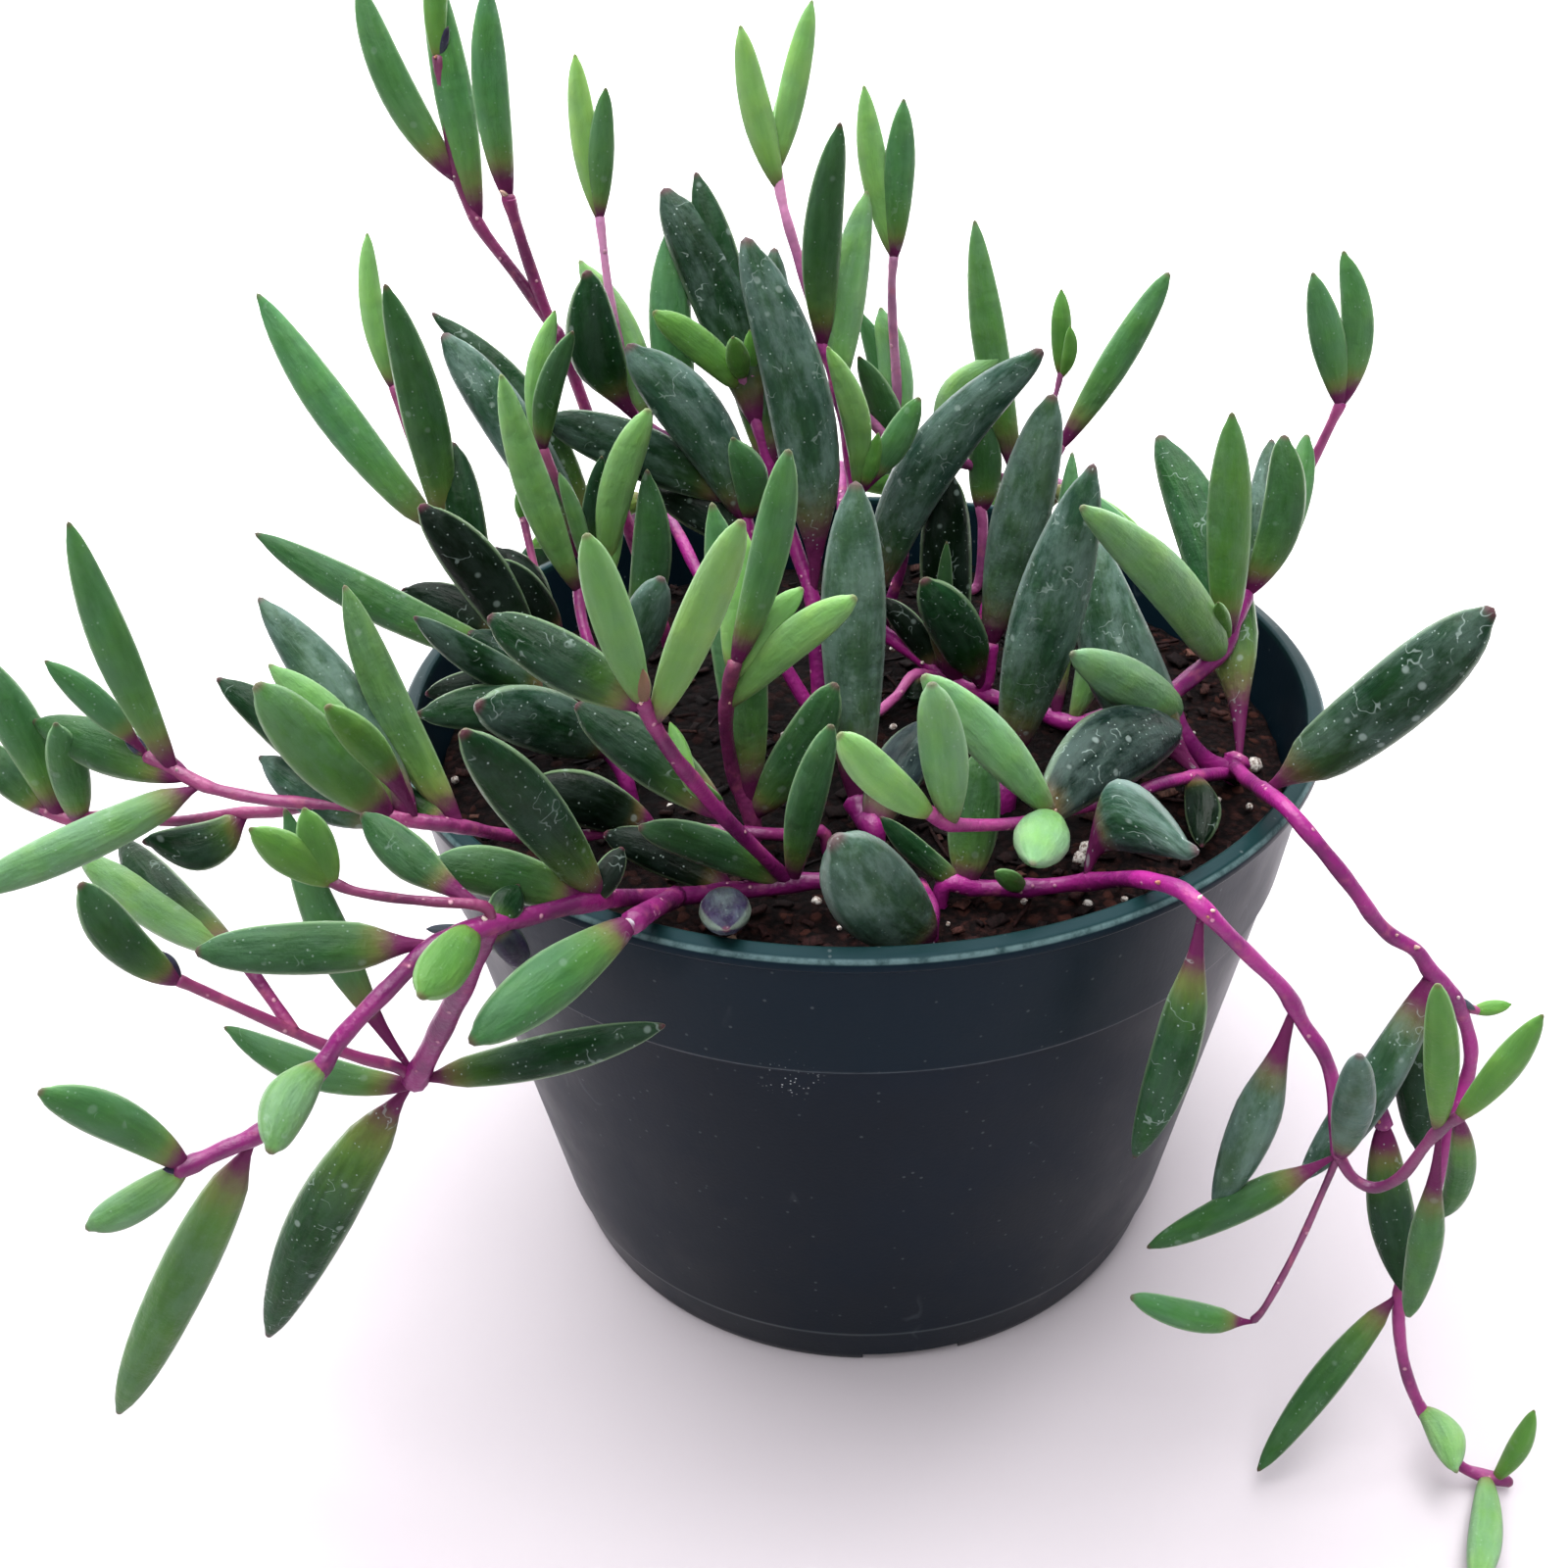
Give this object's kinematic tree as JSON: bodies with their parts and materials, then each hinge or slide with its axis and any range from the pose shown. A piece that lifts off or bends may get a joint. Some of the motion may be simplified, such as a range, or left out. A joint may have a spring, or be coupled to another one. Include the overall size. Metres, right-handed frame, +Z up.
{
  "type": "potted trailing succulent",
  "caption": "Trailing succulent with plump spindle-shaped leaves on purple stems, growing over the lip of a round plastic nursery pot of soil.",
  "frame": {"origin": "middle of the pot on the surface that it stands on", "axes": "+Z up along the pot's axis, -Y towards the viewer of the picture, +X to the viewer's right"},
  "size_m": [0.1617, 0.1529, 0.1507],
  "materials": {
    "pot_plastic": "satin",
    "soil_peat": "matte",
    "leaf_green": "satin",
    "stem_purple": "satin"
  },
  "bodies": {
    "root": {"pot": "pot_plastic", "soil": "soil_peat", "front_runner": "leaf_green", "right_trailer": "leaf_green", "right_clump": "leaf_green", "crown_right": "leaf_green", "broad_leaf": "leaf_green", "tall_leaf": "leaf_green", "light_shoot": "leaf_green", "left_runner": "leaf_green", "crown_left": "leaf_green", "crown_middle": "leaf_green", "top_left_shoots": "leaf_green", "back_shoot_left": "leaf_green", "back_shoot_middle": "leaf_green", "back_shoot_right": "leaf_green"}
  },
  "joints": []
}
